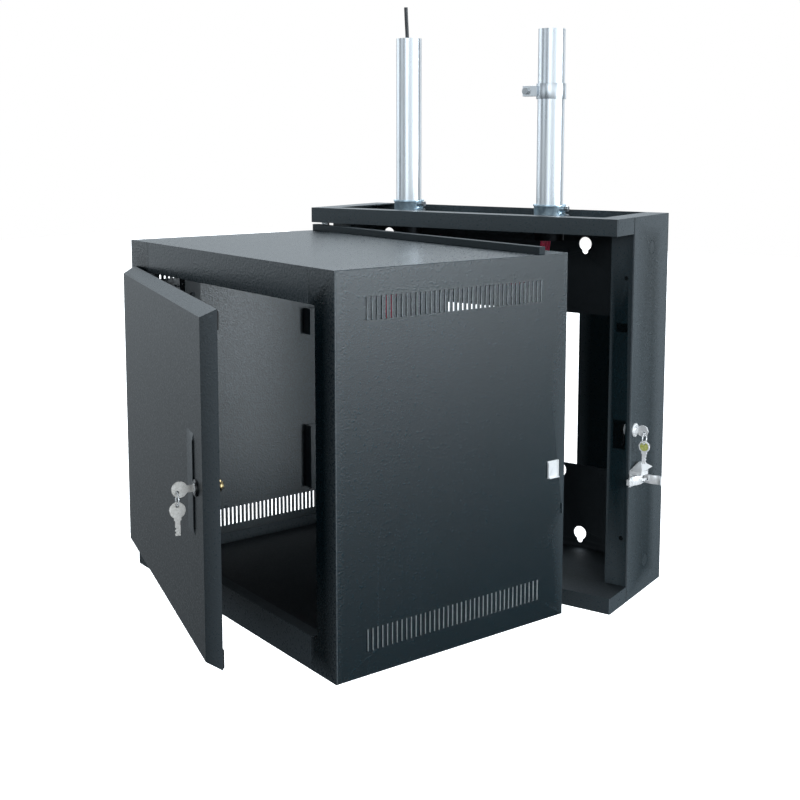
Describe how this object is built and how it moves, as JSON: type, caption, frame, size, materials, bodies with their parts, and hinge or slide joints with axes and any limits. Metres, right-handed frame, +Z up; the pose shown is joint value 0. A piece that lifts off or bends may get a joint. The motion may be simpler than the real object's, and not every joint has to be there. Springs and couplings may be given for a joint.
{
  "type": "wall mount network cabinet",
  "caption": "Black swing-out wall mount network cabinet: hinged rack section with vented sides and locking door on a shallow back pan fed by conduits.",
  "frame": {"origin": "centre of the four wall keyholes, on the wall plane at the back of the cabinet", "axes": "+Z up, +Y into the wall, +X to the right as seen from the room; the centre section stands swung out 19 degrees at rest"},
  "size_m": [0.753, 0.8568, 0.9712],
  "materials": {
    "powder_coat_black": "fine textured powder coat",
    "powder_coat_door": "fine textured powder coat",
    "powder_coat_inner": "textured powder coat",
    "rail_steel": "satin black",
    "galvanised_tube": "galvanised, bright",
    "zinc_casting": "die cast zinc",
    "zinc_hardware": "zinc plated",
    "bright_chrome": "bright nickel chrome",
    "lock_black": "gloss black",
    "brass": "satin",
    "key_nickel": "worn nickel",
    "key_olive": "moulded key head",
    "cable_grey": "grey jacket",
    "cable_red": "red jacket",
    "bumper_rubber": "matt"
  },
  "bodies": {
    "back_pan": {"top_pan": "powder_coat_black", "bottom_pan": "powder_coat_black", "side_channel_left": "powder_coat_black", "side_channel_right": "powder_coat_black", "wall_plate_top": "powder_coat_inner", "wall_plate_bottom": "powder_coat_inner", "pivot_pins": "zinc_hardware", "pivot_spacers": "zinc_hardware", "conduit_left": "galvanised_tube", "conduit_right": "galvanised_tube", "conduit_connectors": "zinc_casting", "connector_screws": "zinc_hardware", "conduit_locknuts": "zinc_hardware", "conduit_clamp": "zinc_hardware", "clamp_bolt": "zinc_hardware", "feed_cable": "cable_grey", "data_cable_1": "cable_red", "data_cable_2": "cable_red", "data_cable_3": "cable_red", "data_cable_4": "cable_red", "latch_base": "bright_chrome", "latch_pivot_pin": "zinc_hardware", "pan_lock_body": "bright_chrome", "pan_lock_nut": "zinc_hardware"},
    "latch_lever": {"latch_lever": "bright_chrome"},
    "latch_claw": {"latch_claw": "bright_chrome"},
    "pan_lock_cylinder": {"pan_lock_plug": "bright_chrome", "pan_lock_cam": "zinc_hardware", "pan_key": "bright_chrome"},
    "pan_spare_keys": {"pan_key_ring": "bright_chrome", "pan_spare_key": "key_olive"},
    "centre_section": {"section_side_left": "powder_coat_black", "section_side_right": "powder_coat_black", "section_top": "powder_coat_black", "section_bottom": "powder_coat_black", "front_stile_left": "powder_coat_black", "front_stile_right": "powder_coat_black", "rack_rail_left": "rail_steel", "rack_rail_right": "rail_steel", "rail_brackets": "powder_coat_inner", "rail_screws": "zinc_hardware", "rear_rail_brackets": "powder_coat_inner", "seal_strip": "powder_coat_black", "pivot_bushes": "brass", "pivot_plates": "powder_coat_inner", "keeper_plate": "bright_chrome", "door_hinge_brackets": "powder_coat_inner"},
    "door": {"door_skin": "powder_coat_door", "finger_pull": "powder_coat_door", "door_hinge_leaves": "powder_coat_inner", "door_hinge_pins": "zinc_hardware", "door_bumpers": "bumper_rubber", "door_lock_body": "lock_black", "door_lock_nut": "zinc_hardware"},
    "door_lock_cylinder": {"door_lock_plug": "bright_chrome", "door_lock_cam": "brass", "door_key": "key_nickel"},
    "door_spare_keys": {"door_key_ring": "bright_chrome", "door_spare_key": "key_nickel"}
  },
  "joints": [
    {"name": "section_swing", "type": "hinge", "parent": "back_pan", "child": "centre_section", "pos_m": [-0.2212, -0.18, 0], "axis": [0, 0, -1], "range_deg": [-19.26, 75.74]},
    {"name": "door_swing", "type": "hinge", "parent": "centre_section", "child": "door", "pos_m": [-0.33987, -0.53842, 0.003], "axis": [0, 0, -1], "range_deg": [-14.83, 110.17]},
    {"name": "door_lock_turn", "type": "hinge", "parent": "door", "child": "door_lock_cylinder", "pos_m": [0.06738, -0.81948, 0.001], "axis": [0.5605, 0.8282, 0], "range_deg": [0, 180]},
    {"name": "door_spare_key_swing", "type": "hinge", "parent": "door_lock_cylinder", "child": "door_spare_keys", "pos_m": [0.04838, -0.84755, -0.0022], "axis": [0.8282, -0.5605, 0], "range_deg": [-60, 16]},
    {"name": "pan_lock_turn", "type": "hinge", "parent": "back_pan", "child": "pan_lock_cylinder", "pos_m": [0.3428, -0.123, -0.027], "axis": [-1, 0, 0], "range_deg": [0, 90]},
    {"name": "pan_spare_key_swing", "type": "hinge", "parent": "pan_lock_cylinder", "child": "pan_spare_keys", "pos_m": [0.3681, -0.123, -0.0302], "axis": [0, 1, 0], "range_deg": [-60, 10]},
    {"name": "latch_lever_turn", "type": "hinge", "parent": "back_pan", "child": "latch_lever", "pos_m": [0.3628, -0.116, -0.104], "axis": [0, 0, 1], "range_deg": [0, 90]},
    {"name": "latch_claw_turn", "type": "hinge", "parent": "latch_lever", "child": "latch_claw", "pos_m": [0.3688, -0.118, -0.104], "axis": [0, 0, 1], "range_deg": [-90, 0]}
  ],
  "couplings": [
    {"joint": "latch_claw_turn", "follows": "latch_lever_turn", "ratio": -1}
  ]
}
